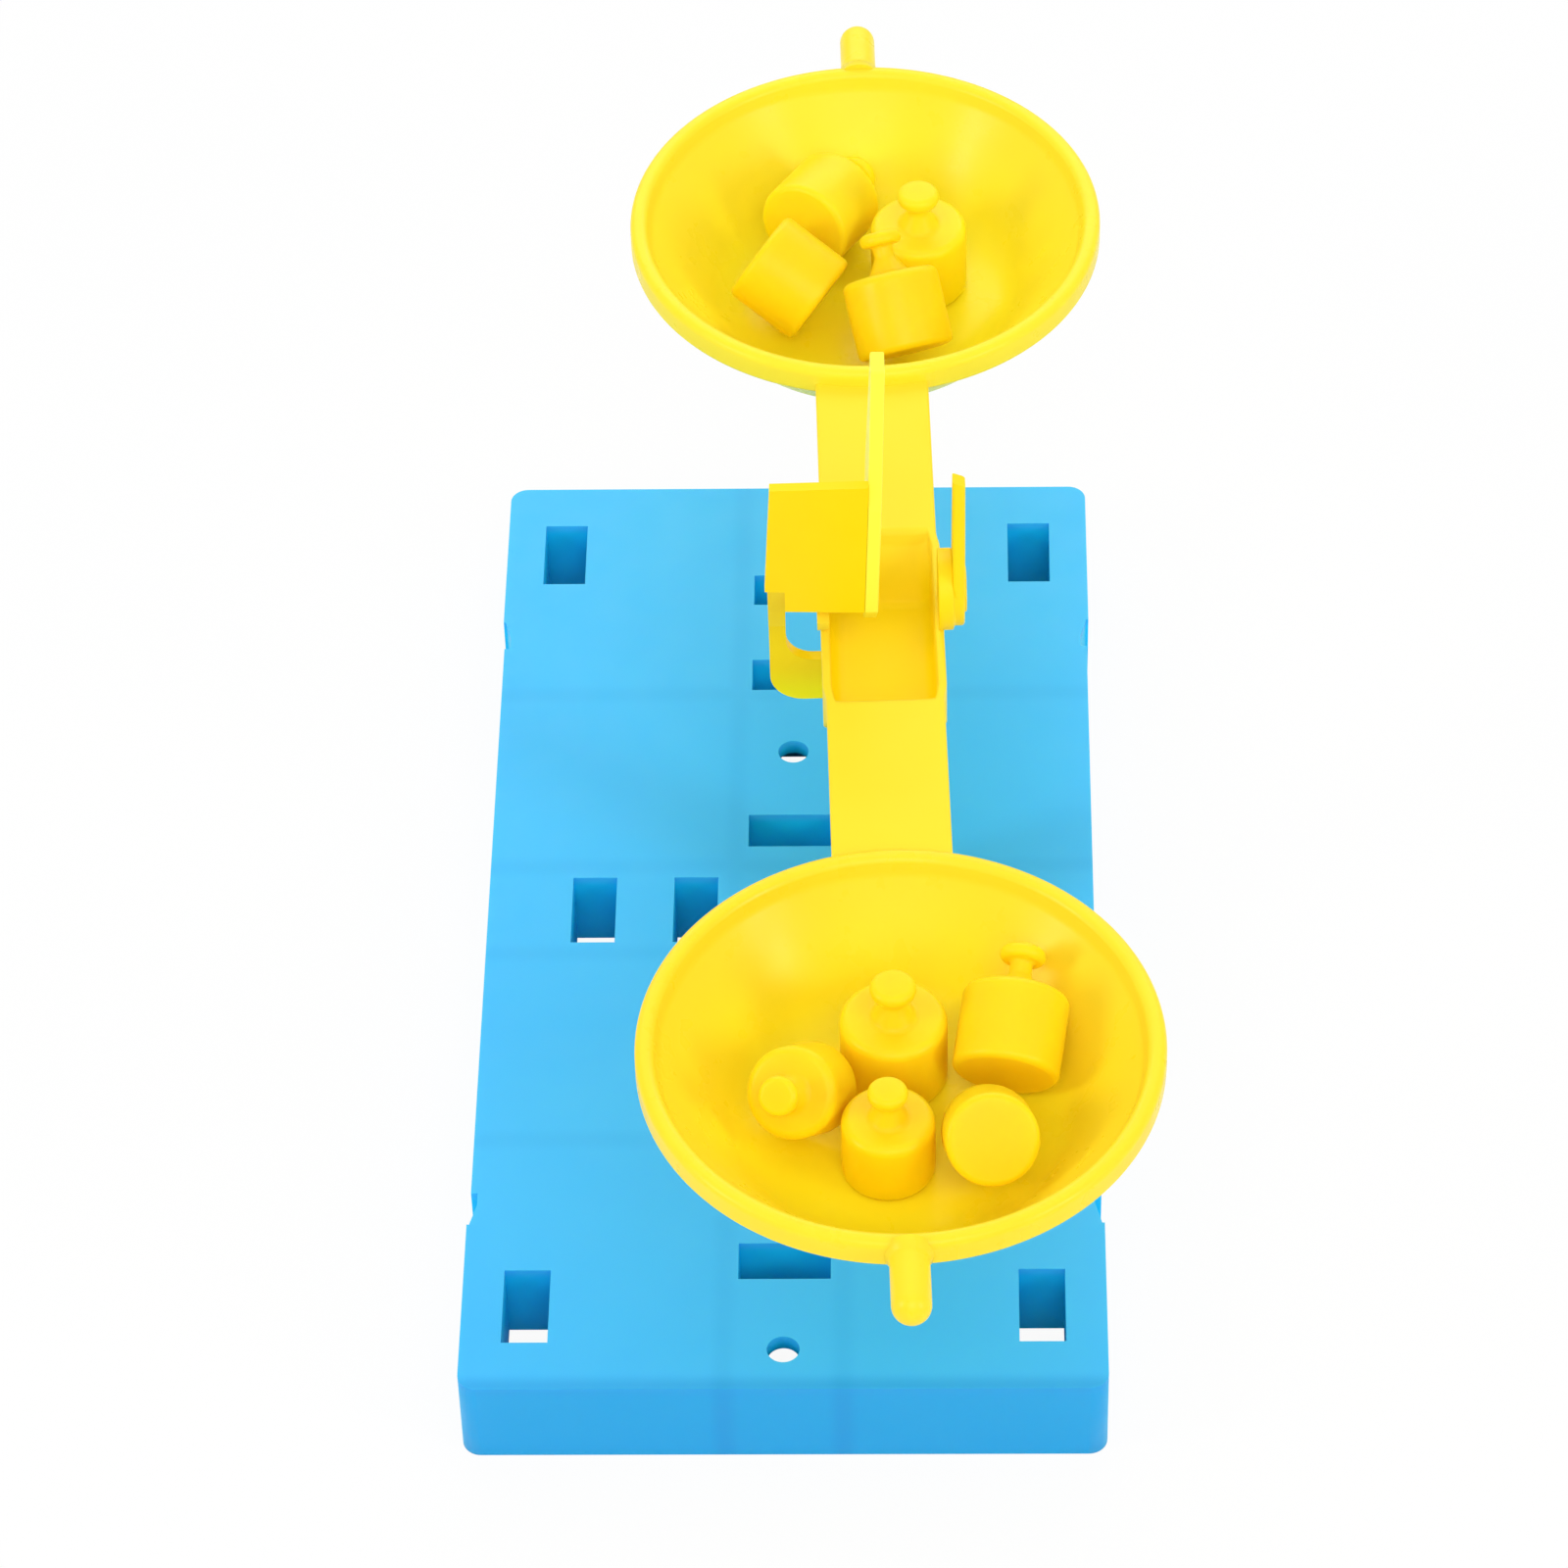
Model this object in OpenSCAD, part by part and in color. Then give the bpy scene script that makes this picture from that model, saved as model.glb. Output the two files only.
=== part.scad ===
// Toy balance scale: a blue tray base, a yellow stand plugged into one of the base's slots,
// a yellow beam with a bowl at each end that tilts on a pin, and nine loose yellow weights.
// Millimetres. The base stands on Z = 0, and the whole is centred on the origin in X and Y.
// +Y runs along the beam, away from the viewer. +X is the viewer's right.

/* [Base] */
// Width of the base across the beam
base_w = 75; // [68:1:90]
// Length of the base along the beam
base_l = 150; // [140:1:180]
// Height of the base
base_h = 12.2; // [10:0.2:18]
// Wall thickness of the base
base_wall = 1.8; // [1.2:0.1:2.4]
// Thickness of the base's top plate
base_top_t = 2.2; // [1.6:0.1:3]
// Corner radius of the base
base_corner_r = 2.2; // [1.2:0.2:5]
// How far the end sections stand out past the middle section
base_end_step = 0.3; // [0.2:0.1:0.6]
// Depth of the notches in the base's long sides
notch_depth = 1.1; // [0.7:0.1:1.4]
// Height of the ribs under the top plate
rib_h = 2.2; // [1:0.1:3]
// Gap between the plug sockets' lower edge and the table
socket_gap = 1.2; // [0.6:0.1:5]
// Width of a plug slot
slot_w = 5.4; // [5:0.1:6]
// Length of a plug slot
slot_l = 10.8; // [10:0.1:12]
// Diameter of the round holes
hole_d = 3.8; // [3:0.1:5]

/* [Stand] */
// Place of the stand across the base
stand_x = 11.7; // [11:0.1:12.4]
// Turn of the stand in its slot, in degrees
stand_turn = 1.9; // [0:0.1:3]
// Height of the strap's top over the base's top
strap_rise = 50.8; // [46:0.2:65]
// Thickness of the post across the beam
post_w = 5; // [4:0.2:7]
// Depth of the post along the beam
post_d = 10.2; // [8:0.2:12]
// Thickness of the side arm and the cross bar
arm_t = 2; // [1.6:0.1:2.4]
// Height of the cross bar under the hub
bar_h = 6.6; // [5:0.2:8]
// Thickness of the web plate
web_t = 1.3; // [1:0.1:2]
// Height of the web plate
web_h = 19.8; // [14:0.2:24]
// Thickness of the index blade
blade_t = 1.6; // [1:0.1:2]
// Height of the index blade's tip over the strap's top
blade_top = 39.9; // [32:0.2:48]
// Sideways lean of the index blade, in degrees
blade_lean = 2; // [0:0.1:4]

/* [Pivot] */
// Radius of the pivot pin
pin_r = 1.5; // [1:0.1:1.7]
// Radial clearance of the pin in its bores
pin_fit = 0.05; // [0.02:0.01:0.1]
// Height of the pivot over the strap's top
pivot_up = 3.8; // [3.4:0.1:4]

/* [Beam] */
// Width of the straps
strap_w = 13.7; // [11:0.1:14]
// Thickness of the straps
strap_t = 1.8; // [1.4:0.1:2.4]
// Outer width of the hub
hub_w = 14.4; // [14:0.1:15]
// Outer length of the hub
hub_l = 31; // [28:0.5:36]
// Depth of the hub under the strap's top
hub_depth = 8.8; // [7:0.2:9]
// Wall thickness of the hub
hub_wall = 1; // [0.8:0.1:1.6]
// Radius of the round bosses at the pivot
boss_r = 4.8; // [4.2:0.1:5.2]
// Height of the pointer's tip over the strap's top
pointer_top = 21.4; // [16:0.2:28]

/* [Bowls] */
// Distance from the pivot to a bowl's centre
bowl_offset = 68.5; // [64:0.5:80]
// Outer radius of a bowl's rim
bowl_r = 29.2; // [28.5:0.1:32]
// Inside depth of a bowl
bowl_depth = 14; // [12.5:0.2:18]
// Inside radius of a bowl's flat floor
bowl_floor_r = 17.3; // [17:0.1:19]
// Wall thickness of a bowl
bowl_wall = 1.3; // [1:0.1:1.8]
// Height of the rim over the strap's top
rim_up = 2; // [1.6:0.1:2.6]
// Radius of the round end pegs
peg_r = 2.2; // [1.6:0.1:2.4]
// Length of a peg past the rim
peg_len = 8.8; // [6:0.2:14]

/* [Weights] */
// Body radius of a small weight
small_r = 5.2; // [4:0.1:5.3]
// Body height of a small weight
small_h = 8.4; // [7:0.1:9.6]
// Body radius of a large weight
large_r = 6; // [5:0.1:6.1]
// Body height of a large weight
large_h = 9.8; // [8:0.1:10]
// Knob radius as a share of the body radius
knob_share = 0.43; // [0.35:0.01:0.5]

/* [Hidden] */
$fn = 72;
blue = [0.33, 0.76, 0.97];
yellow = [1, 0.88, 0.08];
strap_z = base_h + strap_rise;
// the near bowl reaches past the base on the right, so the base's centre lies left of the origin
bowl_reach_x = stand_x + bowl_offset * sin(stand_turn) + bowl_r;
base_x = (base_w / 2 - max(bowl_reach_x, base_w / 2)) / 2;
stand_at = base_x + stand_x;
corner_slot_x = base_w / 2 - 7.5;
corner_slot_y = base_l / 2 - 12.3;
inner_cross_y = 13.3;
end_cross_y = base_l / 2 - 19;
mid_cross_y = end_cross_y - 15.4;
cross_rows = [inner_cross_y, mid_cross_y, end_cross_y];
hole_rows = [(inner_cross_y + mid_cross_y) / 2, base_l / 2 - 5.8];
mid_slots = [stand_x, stand_x + 12.5];
notch_far = base_l / 2 - 24.7;
notch_near = notch_far - 4.8;
rib_t = 1.2;
socket_wall = 1.2;
socket_depth = base_h - socket_gap;
rib_lane_x = slot_l / 2 + 1.5;
rib_rows = [slot_l / 2 + 1.8, mid_cross_y - slot_w / 2 - 0.7];
rib_z = base_h - base_top_t - rib_h / 2;
inner_w = base_w - 2 * notch_depth - 2 * base_wall;
inner_l = base_l - 2 * base_wall;
tenon_len = base_top_t + 1.8;
tenon_fit = 0.15;
foot_t = 2.4;
foot_lip = 1.6;
cap_h = 4.5;
cap_lip = 1.2;
arm_x = -13.3;
web_front = -5;
web_out = 0.3;
web_z0 = 5.2;
cheek_z0 = web_z0 + 3.8;
bar_front = 3.4;
bar_depth = 1.4;
bar_gap = 1.8;
bar_z1 = -hub_depth - bar_gap;
bar_z0 = bar_z1 - bar_h;
post_top = bar_z0 - cap_h;
outer_bend_r = 4;
inner_bend_r = 3.2;
blade_foot_x = -2.1;
blade_knee = 21.4;
bore_r = pin_r + pin_fit;
ear_r = bore_r + 1.15;
ear_out = 0.4;
boss_out = 0.8;
disc_t = 1.9;
finger_t = 1.6;
hub_floor_t = 1.2;
hub_slope = 5.6;
bowl_z = rim_up;
peg_reach = bowl_offset + bowl_r + peg_len;
rim_band = 3.6;
lip_r = 1;
lug_y = bowl_offset - bowl_r - 1.3;
neck_share = 0.21;
flare_share = 0.42;
neck_tall = 0.62;
knob_tall = 0.28;
body_edge = 0.8;
knob_edge = 0.6;
stand_gap = 0.05;
rest_gap = 0.3;

// The frame of the stand and the beam: on the post's axis, with Z = 0 at the straps' top
module at_stand() {
    translate([stand_at, 0, strap_z]) rotate([0, 0, stand_turn]) children();
}

// A plate seen from the viewer, drawn in X and Z, from y0 to y0 + t
module upright(y0, t) {
    translate([0, y0 + t, 0]) rotate([90, 0, 0]) linear_extrude(height = t) children();
}

// A plate seen from the side, drawn in Y and Z, from x0 to x0 + t
module sideways(x0, t) {
    translate([x0, 0, 0]) rotate([90, 0, 90]) linear_extrude(height = t) children();
}

// A round bar along X at the pivot's height
module cross_round(x0, x1, r) {
    translate([x0, 0, pivot_up]) rotate([0, 90, 0]) cylinder(h = x1 - x0, r = r);
}

module rounded_rect(w, l, r) {
    square([w - 2 * r, l], center = true);
    square([w, l - 2 * r], center = true);
    for (sx = [-1, 1], sy = [-1, 1])
        translate([sx * (w / 2 - r), sy * (l / 2 - r)]) circle(r = r);
}

// Outline of the base: full width at the ends, a little narrower between, notched at the change
module base_outline() {
    difference() {
        rounded_rect(base_w, base_l, base_corner_r);
        for (sx = [-1, 1]) {
            translate([sx * base_w / 2, 0])
                square([2 * base_end_step, 2 * notch_far], center = true);
            for (sy = [-1, 1])
                polygon([[sx * (base_w / 2 + 1), sy * notch_near],
                    [sx * (base_w / 2 - notch_depth), sy * notch_near],
                    [sx * (base_w / 2 - notch_depth), sy * (notch_near + 1.8)],
                    [sx * (base_w / 2 - base_end_step), sy * notch_far],
                    [sx * (base_w / 2 + 1), sy * notch_far]]);
        }
    }
}

// Plan of all plug slots, each side drawn out by grow
module slot_plan(grow) {
    w = slot_w + 2 * grow;
    l = slot_l + 2 * grow;
    for (sx = [-1, 1]) {
        for (sy = [-1, 1])
            translate([sx * corner_slot_x, sy * corner_slot_y]) square([w, l], center = true);
        for (x = mid_slots)
            translate([sx * x, 0]) square([w, l], center = true);
    }
    for (sy = [-1, 1], y = cross_rows)
        translate([0, sy * y]) square([l, w], center = true);
}

module base_plate() {
    color(blue) translate([base_x, 0, 0]) difference() {
        union() {
            difference() {
                linear_extrude(height = base_h) base_outline();
                translate([0, 0, -1]) linear_extrude(height = base_h - base_top_t + 1)
                    rounded_rect(inner_w, inner_l, base_corner_r / 2);
            }
            // socket walls under the slots
            translate([0, 0, base_h - socket_depth]) linear_extrude(height = socket_depth - base_top_t / 2)
                slot_plan(socket_wall);
            for (sx = [-1, 1]) {
                translate([sx * rib_lane_x, 0, rib_z])
                    cube([rib_t, inner_l + 1, rib_h + 0.02], center = true);
                for (row = rib_rows, sy = [-1, 1])
                    translate([sx * (inner_w / 4 + rib_lane_x / 2 + 0.2), sy * row, rib_z])
                        cube([inner_w / 2 - rib_lane_x + 0.4, rib_t, rib_h + 0.02], center = true);
            }
        }
        translate([0, 0, -1]) linear_extrude(height = base_h + 2) slot_plan(0);
        for (sy = [-1, 1], y = hole_rows)
            translate([0, sy * y, base_h / 2]) cylinder(h = base_h, d = hole_d);
    }
}

// Post with a foot on the base's top and a tenon through the slot
module stand_post() {
    color(yellow) {
        translate([stand_at - slot_w / 2 + tenon_fit, -slot_l / 2 + tenon_fit, base_h - tenon_len])
            cube([slot_w - 2 * tenon_fit, slot_l - 2 * tenon_fit, tenon_len + foot_t / 2]);
        translate([stand_at - slot_w / 2 - foot_lip, -slot_l / 2 - foot_lip, base_h])
            cube([slot_w + 2 * foot_lip, slot_l + 2 * foot_lip, foot_t]);
        translate([stand_at, 0, base_h + foot_t / 2]) rotate([0, 0, stand_turn])
            translate([-post_w / 2, -post_d / 2, 0])
                cube([post_w, post_d, strap_rise + post_top - foot_t / 2]);
    }
}

// The bent side arm and the cross bar that it turns into, in X and Z
module bent_arm() {
    translate([arm_x, bar_z0 + outer_bend_r]) square([arm_t, 6 - bar_z0 - outer_bend_r]);
    translate([arm_x, bar_z0 + outer_bend_r]) square([outer_bend_r, bar_h - outer_bend_r]);
    translate([arm_x + outer_bend_r, bar_z0]) square([post_w / 2 + cap_lip - arm_x - outer_bend_r, bar_h]);
    intersection() {
        translate([arm_x + outer_bend_r, bar_z0 + outer_bend_r]) circle(r = outer_bend_r);
        translate([arm_x, bar_z0]) square(outer_bend_r);
    }
    difference() {
        translate([arm_x + arm_t - 0.1, bar_z1 - 0.1]) square(inner_bend_r + 0.1);
        translate([arm_x + arm_t + inner_bend_r, bar_z1 + inner_bend_r]) circle(r = inner_bend_r);
    }
}

// Left cheek that carries the web and the pin, in Y and Z
module cheek_side() {
    polygon([[bar_front, -4], [bar_front + bar_depth, -4], [bar_front + bar_depth, web_z0 + 1.6],
        [web_front + web_t, web_z0 + 5.4], [web_front, web_z0 + 5.4], [web_front, cheek_z0],
        [-ear_r + 0.4, pivot_up - ear_r - 0.4], [bar_front, pivot_up - ear_r - 1.4]]);
}

// X of the blade's left face at height z
function blade_x(z) = blade_foot_x + tan(blade_lean) * (z - web_z0);

module stand_yoke() {
    color(yellow) at_stand() difference() {
        union() {
            translate([-post_w / 2 - cap_lip, -post_d / 2 - cap_lip, post_top])
                cube([post_w + 2 * cap_lip, post_d + 2 * cap_lip, cap_h + 0.6]);
            upright(bar_front, bar_depth) bent_arm();
            sideways(arm_x, arm_t) cheek_side();
            upright(web_front, web_t)
                polygon([[arm_x - web_out, cheek_z0], [arm_x + arm_t, cheek_z0 - 0.2], [arm_x + arm_t, web_z0 + 0.5],
                    [blade_x(web_z0), web_z0], [blade_x(web_z0 + web_h), web_z0 + web_h],
                    [arm_x + 0.6, web_z0 + web_h]]);
        }
        cross_round(arm_x - 1, arm_x + arm_t + 1, bore_r);
    }
}

// Tall thin blade that the pointer is read against
module index_blade() {
    color(yellow) at_stand() difference() {
        translate([blade_foot_x, 0, web_z0]) rotate([0, blade_lean, 0]) translate([0, 0, -web_z0])
            sideways(0, blade_t)
                polygon([[web_front, web_z0], [web_front, blade_knee], [-1.8, blade_top], [1.85, blade_top],
                    [-web_front, blade_knee], [-web_front, web_z0 + 1], [1.7, pivot_up - ear_r],
                    [-1.7, pivot_up - ear_r]]);
        cross_round(blade_foot_x - 2, blade_foot_x + blade_t + 2, bore_r);
    }
}

module pivot_pin() {
    color(yellow) at_stand() cross_round(arm_x, blade_foot_x + blade_t, pin_r);
}

// Boat-shaped tray of the hub in Y and Z, drawn in by d on every side
module hub_side(d) {
    top_y = hub_l / 2 - d;
    low_y = hub_l / 2 - hub_slope - d * 0.8;
    polygon([[-top_y, 0], [top_y, 0], [top_y, -strap_t], [low_y, -hub_depth + d],
        [-low_y, -hub_depth + d], [-top_y, -strap_t]]);
}

module hub() {
    color(yellow) at_stand() difference() {
        union() {
            difference() {
                sideways(-hub_w / 2, hub_w) hub_side(0);
                sideways(-hub_w / 2 + hub_wall, hub_w - 2 * hub_wall) hub_side(hub_floor_t);
            }
            // left ear and bearing tube on the pin
            cross_round(-hub_w / 2 - ear_out, -hub_w / 2 + hub_wall, ear_r);
            cross_round(-hub_w / 2, blade_foot_x - 0.8, ear_r - 0.25);
            intersection() {
                cross_round(-hub_w / 2 - ear_out, -hub_w / 2 + hub_wall, boss_r - 0.4);
                translate([-hub_w / 2 - 1, -10, -4]) cube([hub_wall + 1, 20, pivot_up - 0.8 + 4]);
            }
            // right boss that carries the pointer
            cross_round(hub_w / 2 - hub_wall / 2, hub_w / 2 + boss_out, boss_r);
        }
        cross_round(-hub_w / 2 - 1, 0, bore_r);
    }
}

module pointer() {
    color(yellow) at_stand() {
        cross_round(hub_w / 2 + boss_out, hub_w / 2 + boss_out + disc_t, boss_r);
        sideways(hub_w / 2 + boss_out + 0.1, finger_t)
            polygon([[-1.7, pivot_up], [1.7, pivot_up], [0.9, pointer_top], [-0.9, pointer_top]]);
    }
}

module strap() {
    translate([-strap_w / 2, hub_l / 2, -strap_t]) cube([strap_w, lug_y - hub_l / 2, strap_t]);
}

module strap_near() {
    color(yellow) at_stand() rotate([0, 0, 180]) strap();
}

module strap_far() {
    color(yellow) at_stand() strap();
}

// Half section of a bowl, with the rim's top at height 0
module bowl_section() {
    under = -bowl_depth - bowl_wall;
    polygon([[0, under], [bowl_floor_r + 0.6, under], [bowl_r - 1.2, -rim_band], [bowl_r, -rim_band],
        [bowl_r, -lip_r], [bowl_r - 2 * lip_r, -lip_r], [bowl_r - 2.2 * lip_r, -2.2 * lip_r],
        [bowl_floor_r, -bowl_depth], [0, -bowl_depth]]);
    translate([bowl_r - lip_r, -lip_r]) circle(r = lip_r);
}

module bowl() {
    translate([0, bowl_offset, bowl_z]) rotate_extrude() bowl_section();
    difference() {
        translate([-strap_w / 2, lug_y, -strap_t]) cube([strap_w, 8, strap_t]);
        translate([0, bowl_offset, -10]) cylinder(h = 20, r = bowl_r - lip_r);
    }
    // round-ended peg on the outer side
    difference() {
        translate([0, bowl_offset + bowl_r - 2, 0]) rotate([-90, 0, 0])
            cylinder(h = peg_reach - bowl_offset - bowl_r + 2 - peg_r, r = peg_r);
        translate([0, bowl_offset, -10]) cylinder(h = 20, r = bowl_r - lip_r);
    }
    translate([0, peg_reach - peg_r, 0]) sphere(r = peg_r);
}

module bowl_near() {
    color(yellow) at_stand() rotate([0, 0, 180]) bowl();
}

module bowl_far() {
    color(yellow) at_stand() bowl();
}

// One weight about the middle of its body: a rounded cylinder, with a flared neck and a disc-like
// knob where it has one
module weight_form(r, h, knobbed) {
    knob_r = r * knob_share;
    neck_r = r * neck_share;
    neck_h = r * neck_tall;
    knob_h = r * knob_tall;
    translate([0, 0, -h / 2]) rotate_extrude() {
        square([r - body_edge, h]);
        translate([0, body_edge]) square([r, h - 2 * body_edge]);
        for (z = [body_edge, h - body_edge])
            translate([r - body_edge, z]) circle(r = body_edge);
        if (knobbed) {
            polygon([[0, h / 2], [r * flare_share, h / 2], [r * flare_share, h], [neck_r, h + neck_h * 0.55],
                [neck_r, h + neck_h + knob_h / 2], [0, h + neck_h + knob_h / 2]]);
            translate([0, h + neck_h]) square([knob_r - knob_edge, knob_h]);
            translate([0, h + neck_h + knob_edge]) square([knob_r, knob_h - 2 * knob_edge]);
            for (z = [knob_edge, knob_h - knob_edge])
                translate([knob_r - knob_edge, h + neck_h + z]) circle(r = knob_edge);
        }
    }
}

// Height of a body's middle over the floor when the weight leans and rests on its lowest edge
function rest_z(lean, r, h, knobbed) =
    max(r * abs(sin(lean)) + h / 2 * abs(cos(lean)),
        knobbed ? r * knob_share * abs(sin(lean)) - (h / 2 + r * (neck_tall + knob_tall)) * cos(lean) : 0)
    + (lean == 0 ? stand_gap : rest_gap);

// A weight in a bowl: side -1 is the near bowl, 1 the far one. place is the body's middle from
// the floor's centre, in radii of a large weight. lean tips the weight and turn swings it round
module placed_weight(side, place, lean, turn, large, knobbed = true) {
    r = large ? large_r : small_r;
    h = large ? large_h : small_h;
    color(yellow) at_stand() translate([0, side * bowl_offset, bowl_z - bowl_depth])
        translate([place[0] * large_r, place[1] * large_r, rest_z(lean, r, h, knobbed)])
            rotate([lean, 0, turn]) weight_form(r, h, knobbed);
}

module weight_1() { placed_weight(-1, [-1.83, -0.13], 48, -25, false); }
module weight_2() { placed_weight(-1, [-0.1, 1.2], 0, 0, true); }
module weight_3() { placed_weight(-1, [2.07, 1], -69, -11, true); }
module weight_4() { placed_weight(-1, [-0.27, -1.06], 0, 0, false); }
module weight_5() { placed_weight(-1, [1.58, -1.46], -131, 3, false); }
module weight_6() { placed_weight(1, [-0.89, 1.55], -98, -30, true); }
module weight_7() { placed_weight(1, [-1.6, -0.72], 117, 61, true, false); }
module weight_8() { placed_weight(1, [1.12, 0.47], 0, 0, true); }
module weight_9() { placed_weight(1, [0.61, -1.95], -47, 16, true); }

base_plate();
stand_post();
stand_yoke();
index_blade();
pivot_pin();
hub();
pointer();
strap_near();
strap_far();
bowl_near();
bowl_far();
weight_1();
weight_2();
weight_3();
weight_4();
weight_5();
weight_6();
weight_7();
weight_8();
weight_9();
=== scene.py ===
import math

import bmesh
import bpy
from mathutils import Matrix, Vector


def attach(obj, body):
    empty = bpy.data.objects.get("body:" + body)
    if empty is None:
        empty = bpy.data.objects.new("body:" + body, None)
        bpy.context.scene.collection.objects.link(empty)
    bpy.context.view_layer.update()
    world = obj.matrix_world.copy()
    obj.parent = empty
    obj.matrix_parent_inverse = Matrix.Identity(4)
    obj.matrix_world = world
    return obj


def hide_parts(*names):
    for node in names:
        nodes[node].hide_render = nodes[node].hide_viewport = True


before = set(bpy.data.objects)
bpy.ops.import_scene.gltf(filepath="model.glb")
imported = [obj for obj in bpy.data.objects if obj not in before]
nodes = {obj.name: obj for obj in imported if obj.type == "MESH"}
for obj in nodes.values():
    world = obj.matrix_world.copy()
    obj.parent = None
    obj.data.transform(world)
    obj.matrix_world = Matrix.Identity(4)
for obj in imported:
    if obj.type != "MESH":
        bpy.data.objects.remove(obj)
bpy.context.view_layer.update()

# Sizes in millimetres, as in the solids
BASE_H = 12.2
BASE_X = -2.8356
RIB_ROWS = (7.2, 37.2)
RIB_LANE = 6.9
STAND_AT = 8.8644
STAND_TURN = 1.9
STRAP_Z = BASE_H + 50.8
PIVOT_UP = 3.8
STRAP_W = 13.7
STRAP_T = 1.8
HUB_W = 14.4
HUB_L = 31.0
HUB_DEPTH = 8.8
HUB_WALL = 1.0
HUB_FLOOR_T = 1.2
HUB_SLOPE = 5.6
BOSS_R = 4.8
DISC_R = 4.3
CAP_R = 2.7
EAR_R = 2.7
BORE_R = 1.55
BOWL_OFFSET = 68.5
BOWL_R = 29.2
BOWL_DEPTH = 14.0
BOWL_FLOOR_R = 17.3
BOWL_WALL = 1.3
RIM_UP = 2.0
RIM_BAND = 3.6
PEG_R = 2.2
PEG_LEN = 8.8
POINTER_TOP = 21.4
SMALL = (5.2, 8.4)
LARGE = (6.0, 9.8)
KNOB_SHARE = 0.43
NECK_SHARE = 0.21
FLARE_SHARE = 0.42
NECK_TALL = 0.62
KNOB_TALL = 0.28
STAND_GAP = 0.05
REST_GAP = 0.3

# Sizes of the small forms in the beam bar, in millimetres
BAR_INTO_RIM = 0.9
BAR_EDGE = 0.45
BRIM_EDGE = 0.3
FLOOR_FILLET = 1.8
EASE_FROM = 11.2
EASE_OVER = 2.8
EAR_OUT = 0.4
TUBE_END = -2.9
CHEEK_LEVEL = -0.8

# Sizes of the pointer's finger, in millimetres
FINGER_HALF_X = 0.68
FINGER_TIP_HALF_Y = 0.9
FINGER_EDGE = 0.3

# Texture of the moulded plastic
SCATTER_DEPTH = 0.003
PLASTIC_IOR = 1.49
FLOW_SCALE = 38.0
SPECK_SCALE = 130.0
SPECK_R = 0.035
WEAR_SCALE = 240.0
GRAIN_SCALE = 1100.0
GRAIN_STRENGTH = 0.04
GRAIN_HEIGHT = 0.0002

# Painted shade on the base: darker bands where the ribs under its top would show through, and painted
# shadow over its near end and on its front face: from, to and amount
RIB_SHADE_FADE = (0.0002, 0.0020)
BASE_SHADE_COLOUR = (0.008, 0.34, 0.76, 1)
BASE_SHADE_STRENGTH = 0.16
NEAR_END_SHADOW = (-0.040, -0.072, 1.6)
FRONT_FACE_SHADE = (-0.0725, -0.0746, 3.6)

# Floor and camera
FLOOR_REACH = 3.0
FLOOR_GREY = 0.86
FLOOR_WHITE_SHARE = 0.94
HALF_PICTURE = 800
FOCAL_LENGTH = 6578.371
CAMERA_AT = (0.015839, -0.537711, 0.593456)

TO_METRES = Matrix.Scale(0.001, 4)
AT_STAND = (TO_METRES @ Matrix.Translation((STAND_AT, 0.0, STRAP_Z))
            @ Matrix.Rotation(math.radians(STAND_TURN), 4, "Z"))
ALONG_PIN = AT_STAND @ Matrix.Translation((0, 0, PIVOT_UP)) @ Matrix.Rotation(math.radians(90), 4, "Y")


# Outlines and lathe forms

def rounded(points, steps=8):
    """A polyline with its corners rounded; each point is (a, b, radius)."""
    out = []
    last = len(points) - 1
    for i, (a, b, radius) in enumerate(points):
        corner = Vector((a, b))
        if radius == 0 or i in (0, last):
            out.append(corner)
            continue
        back = Vector(points[i - 1][:2]) - corner
        ahead = Vector(points[i + 1][:2]) - corner
        half = back.angle(ahead) / 2
        reach = min(radius / math.tan(half), 0.49 * back.length, 0.49 * ahead.length)
        r = reach * math.tan(half)
        back.normalize()
        ahead.normalize()
        centre = corner + (back + ahead).normalized() * (r / math.sin(half))
        start = corner + back * reach - centre
        end = corner + ahead * reach - centre
        turn = math.atan2(start.x * end.y - start.y * end.x, start.dot(end))
        for k in range(steps + 1):
            angle = turn * k / steps
            out.append(centre + Matrix.Rotation(angle, 2) @ start)
    return [(p[0], p[1]) for p in out]


def lathe(bm, profile, matrix, steps):
    """Adds a turned form to bm: profile is (radius, height) from end to end, about local Z."""
    rings = []
    for radius, height in profile:
        if radius < 1e-6:
            rings.append([bm.verts.new(matrix @ Vector((0, 0, height)))])
            continue
        ring = []
        for k in range(steps):
            angle = 2 * math.pi * k / steps
            point = Vector((radius * math.cos(angle), radius * math.sin(angle), height))
            ring.append(bm.verts.new(matrix @ point))
        rings.append(ring)
    for low, high in zip(rings, rings[1:]):
        if len(low) == 1 and len(high) == 1:
            continue
        for k in range(steps):
            n = (k + 1) % steps
            if len(low) == 1:
                bm.faces.new((low[0], high[n], high[k]))
            elif len(high) == 1:
                bm.faces.new((low[k], low[n], high[0]))
            else:
                bm.faces.new((low[k], low[n], high[n], high[k]))


def quarter(steps):
    """Cosine and sine along a quarter turn."""
    angles = [math.pi / 2 * k / steps for k in range(steps + 1)]
    return [(math.cos(a), math.sin(a)) for a in angles]


def loft(bm, sections):
    """Adds a skin through closed sections of equal count, with flat ends."""
    loops = [[bm.verts.new(p) for p in section] for section in sections]
    count = len(loops[0])
    for low, high in zip(loops, loops[1:]):
        for k in range(count):
            n = (k + 1) % count
            bm.faces.new((low[k], low[n], high[n], high[k]))
    bm.faces.new(list(reversed(loops[0])))
    bm.faces.new(loops[-1])


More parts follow.
